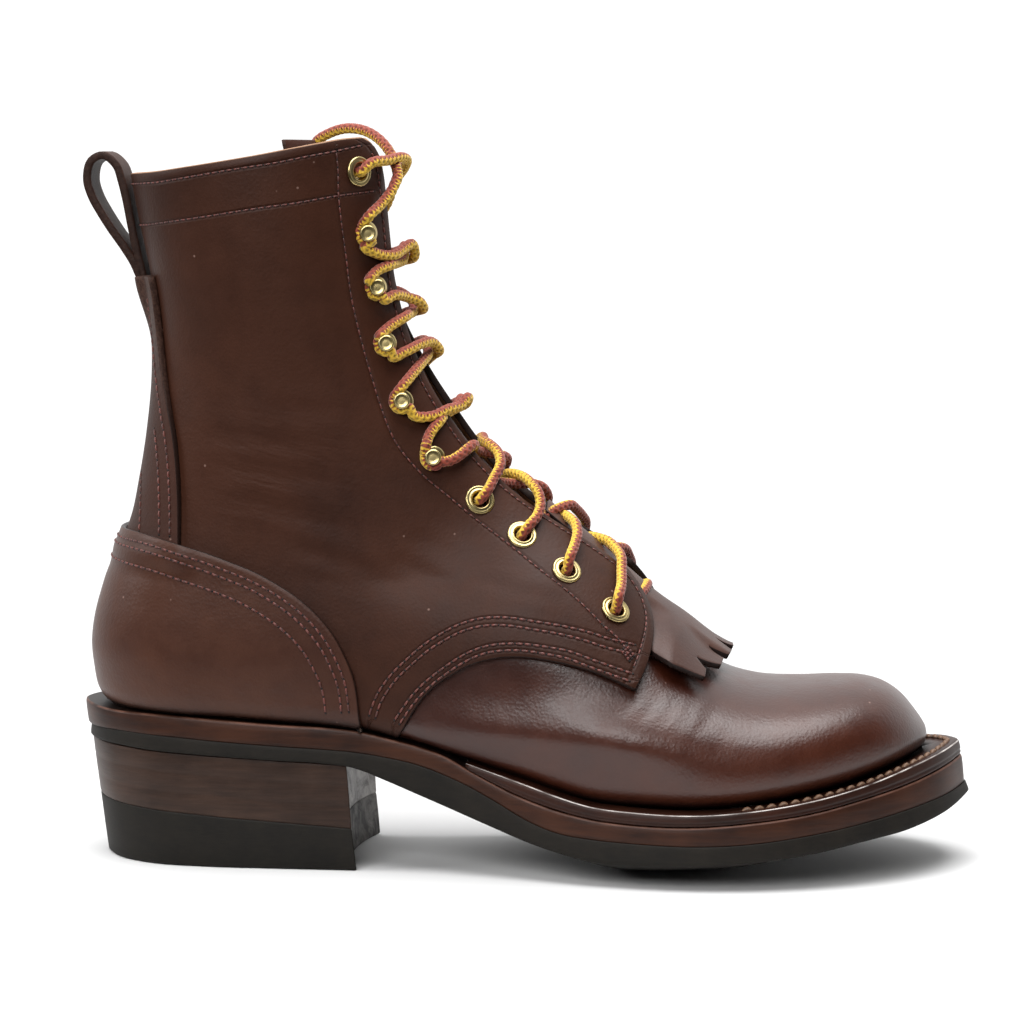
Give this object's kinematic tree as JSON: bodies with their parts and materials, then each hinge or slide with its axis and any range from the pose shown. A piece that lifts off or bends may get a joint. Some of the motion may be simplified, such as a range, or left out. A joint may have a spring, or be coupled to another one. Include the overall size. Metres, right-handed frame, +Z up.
{
  "type": "packer boot",
  "caption": "Right lace-up packer boot: brown leather shaft and vamp, kiltie, heel counter, welted leather and rubber sole, stacked heel, brass eyelets and hooks.",
  "frame": {"origin": "middle of the boot's bounding box on the floor, lace end left out", "axes": "+X from heel to toe, -Y to the outer side of the foot, +Z up"},
  "size_m": [0.3102, 0.1112, 0.259],
  "materials": {
    "shaft_leather": "smooth waxed",
    "trim_leather": "smooth waxed",
    "sole_leather": "stained sole leather",
    "insole_leather": "plain vegetable tanned",
    "black_rubber": "matte",
    "lace_cord": "round braid, yellow and rust",
    "brass": "polished"
  },
  "bodies": {
    "root": {"upper": "shaft_leather", "counter": "trim_leather", "backstay": "trim_leather", "pull_loop": "trim_leather", "tongue": "shaft_leather", "kiltie": "trim_leather", "insole": "insole_leather", "welt": "sole_leather", "midsole": "sole_leather", "outsole": "black_rubber", "heel_stack": "sole_leather", "heel_top_lift": "black_rubber", "eyelet_lateral_1": "brass", "eyelet_lateral_2": "brass", "eyelet_lateral_3": "brass", "eyelet_lateral_4": "brass", "eyelet_lateral_5": "brass", "hook_lateral_1": "brass", "hook_lateral_2": "brass", "hook_lateral_3": "brass", "hook_lateral_4": "brass", "hook_lateral_5": "brass", "eyelet_medial_1": "brass", "eyelet_medial_2": "brass", "eyelet_medial_3": "brass", "eyelet_medial_4": "brass", "eyelet_medial_5": "brass", "hook_medial_1": "brass", "hook_medial_2": "brass", "hook_medial_3": "brass", "hook_medial_4": "brass", "hook_medial_5": "brass", "lace_crossing_1": "lace_cord", "lace_crossing_2": "lace_cord", "lace_crossing_3": "lace_cord", "lace_crossing_4": "lace_cord", "lace_crossing_5": "lace_cord", "lace_crossing_6": "lace_cord", "lace_crossing_7": "lace_cord", "lace_crossing_8": "lace_cord", "lace_crossing_9": "lace_cord", "lace_end": "lace_cord"}
  },
  "joints": []
}
